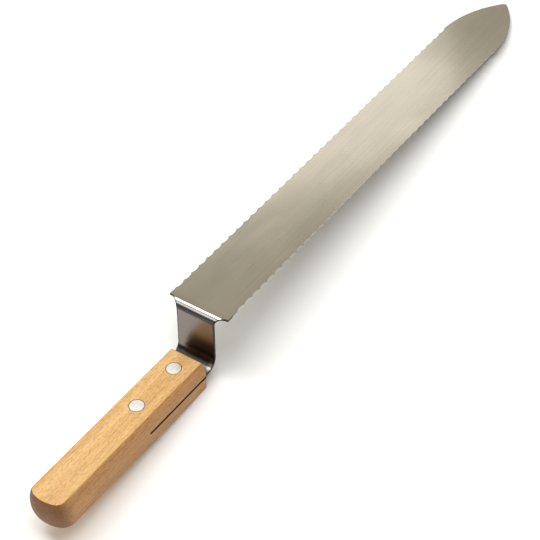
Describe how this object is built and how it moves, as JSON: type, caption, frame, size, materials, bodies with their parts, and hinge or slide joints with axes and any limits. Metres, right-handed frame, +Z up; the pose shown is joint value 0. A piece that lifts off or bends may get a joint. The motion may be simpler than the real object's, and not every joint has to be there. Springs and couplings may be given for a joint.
{
  "type": "uncapping knife",
  "caption": "Cranked uncapping knife: a long serrated stainless blade bent down to a tang that sits in a sawn hardwood handle and is held by flush compression rivets.",
  "frame": {"origin": "on the table the knife lies on, at the middle of its length and width, under its bounding box's centre", "axes": "+X runs along the knife from the butt of the handle to the tip of the blade, +Y to the left seen from the butt, +Z up. The knife lies as it rests on a table, on the tip of the blade and the front edge of the handle, so the blade slopes down about 7 degrees towards the tip"},
  "size_m": [0.4754, 0.04, 0.0423],
  "materials": {
    "stainless_sheet": "satin, fine lengthwise grain, brighter at the rolled bends",
    "beech": "oiled beech with short dark flecks along the grain, low sheen",
    "rivet_aluminium": "bright, linished nearly flush with the wood"
  },
  "bodies": {
    "root": {"blade": "stainless_sheet", "handle": "beech", "front_rivet_socket": "rivet_aluminium", "front_rivet_pin": "rivet_aluminium", "rear_rivet_socket": "rivet_aluminium", "rear_rivet_pin": "rivet_aluminium"}
  },
  "joints": []
}
